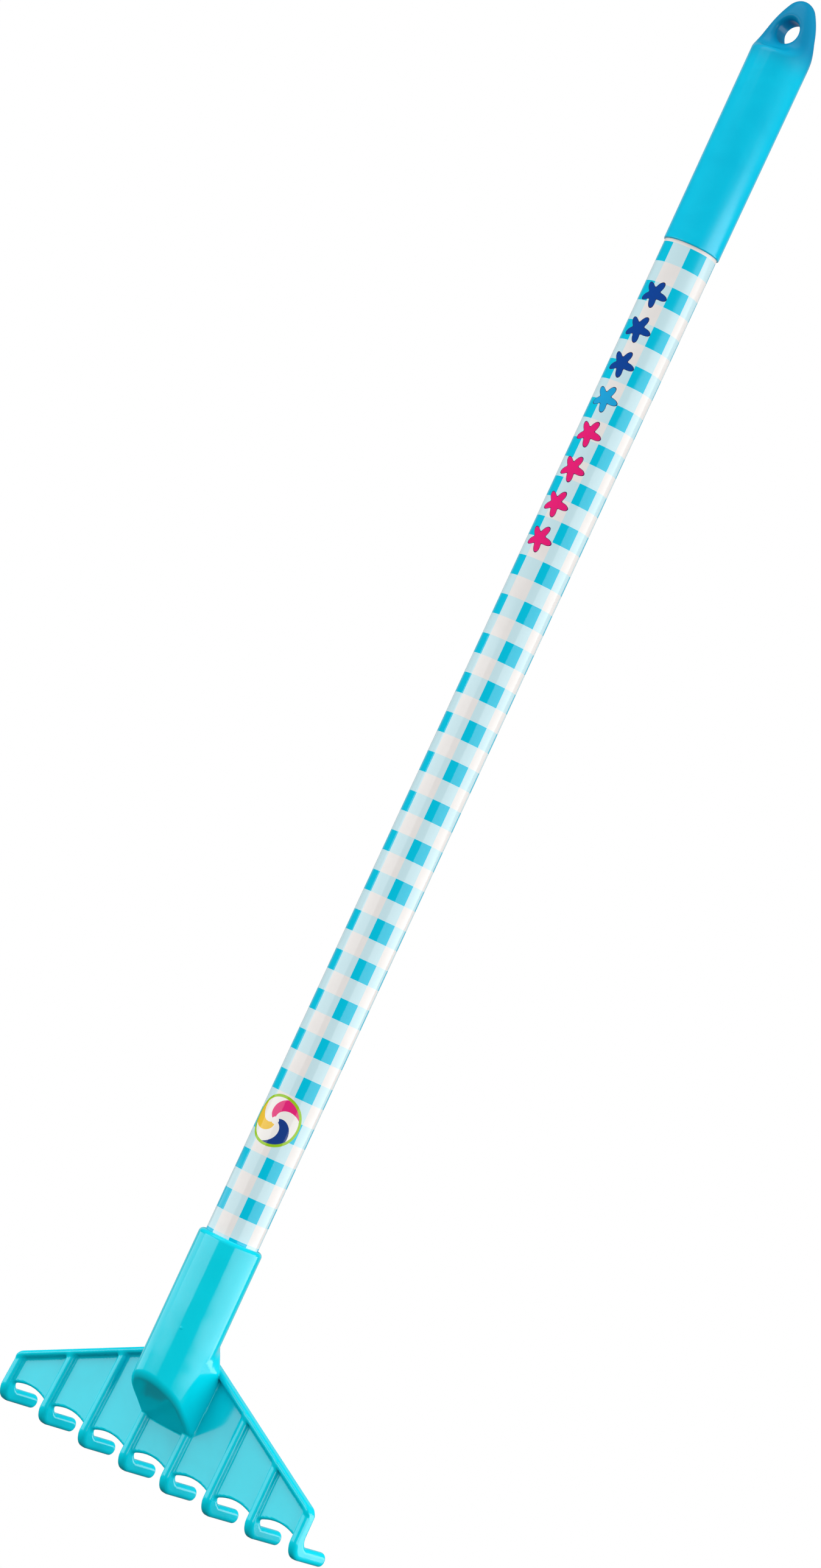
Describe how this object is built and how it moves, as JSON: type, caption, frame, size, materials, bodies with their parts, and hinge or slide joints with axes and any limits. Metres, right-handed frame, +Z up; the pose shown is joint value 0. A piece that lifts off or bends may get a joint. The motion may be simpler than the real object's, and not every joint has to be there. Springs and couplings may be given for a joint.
{
  "type": "sand rake",
  "caption": "Long-handled child's sand rake: a moulded fan head with hooked tines on a straight check-patterned pole, and a push-on hand grip with a hang hole.",
  "frame": {"origin": "on the axis of the hang hole, where it crosses the pole's axis", "axes": "+Z up the pole towards the grip's tip, +Y to the back, the way the toes point, +X to the rake's right, seen from the socket side"},
  "size_m": [0.1584, 0.0469, 0.6305],
  "materials": {
    "head_plastic": "gloss moulded polypropylene, turquoise",
    "tube_steel": "bare steel tube, hidden under the film",
    "film": "gloss shrink film with a cyan and white gingham check",
    "grip_plastic": "gloss moulded polyethylene, sky blue",
    "screw_steel": "bright zinc plated steel"
  },
  "bodies": {
    "root": {"rake_head": "head_plastic", "pole_tube": "tube_steel", "printed_film": "film", "hand_grip": "grip_plastic", "fixing_screw": "screw_steel"}
  },
  "joints": []
}
